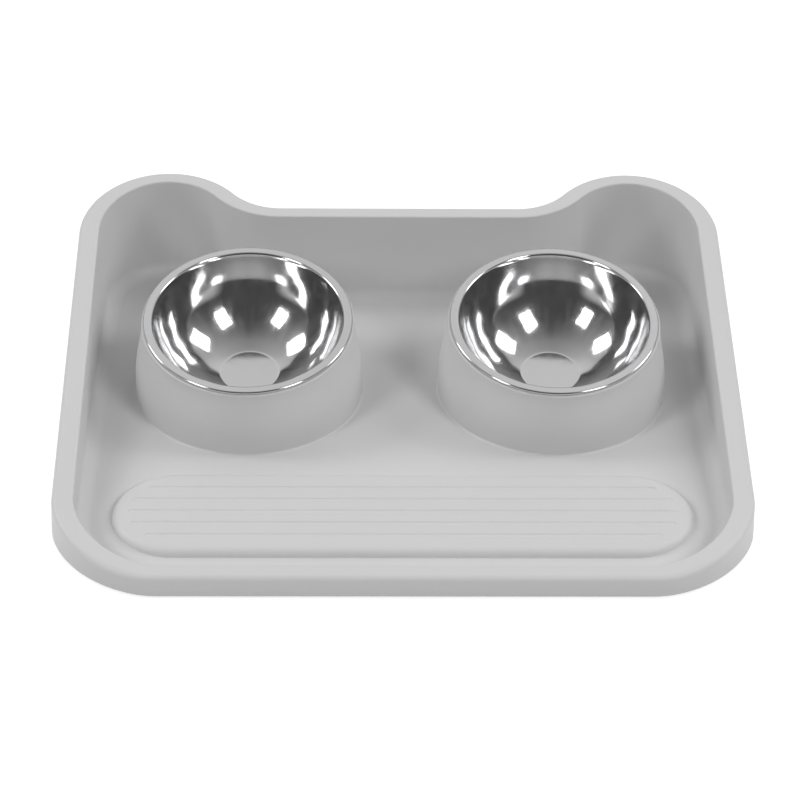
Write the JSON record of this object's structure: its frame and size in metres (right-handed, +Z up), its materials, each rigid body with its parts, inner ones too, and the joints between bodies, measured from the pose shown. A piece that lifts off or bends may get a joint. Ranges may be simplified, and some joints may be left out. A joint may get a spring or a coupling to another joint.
{
  "type": "double pet bowl",
  "caption": "Low moulded feeding tray with raised round pedestals that hold lift-out steel bowls tilted to the front, and a ribbed pad before them.",
  "frame": {"origin": "centre of the outline, on the surface that the feet stand on", "axes": "+X to the right, +Y to the rear lobes, +Z up"},
  "size_m": [0.4146, 0.3486, 0.075],
  "materials": {
    "tray_plastic": "fine satin, light grey",
    "bowl_steel": "polished",
    "foot_rubber": "matte"
  },
  "bodies": {
    "tray": {"tray": "tray_plastic", "foot_front_left": "foot_rubber", "foot_front_right": "foot_rubber", "foot_rear_left": "foot_rubber", "foot_rear_right": "foot_rubber"},
    "left_bowl": {"left_bowl": "bowl_steel"},
    "right_bowl": {"right_bowl": "bowl_steel"}
  },
  "joints": [
    {"name": "left_bowl_lift", "type": "slide", "parent": "tray", "child": "left_bowl", "axis": [0, -0.1736, 0.9848], "range_m": [0, 0.06]},
    {"name": "right_bowl_lift", "type": "slide", "parent": "tray", "child": "right_bowl", "axis": [0, -0.1736, 0.9848], "range_m": [0, 0.06]}
  ]
}
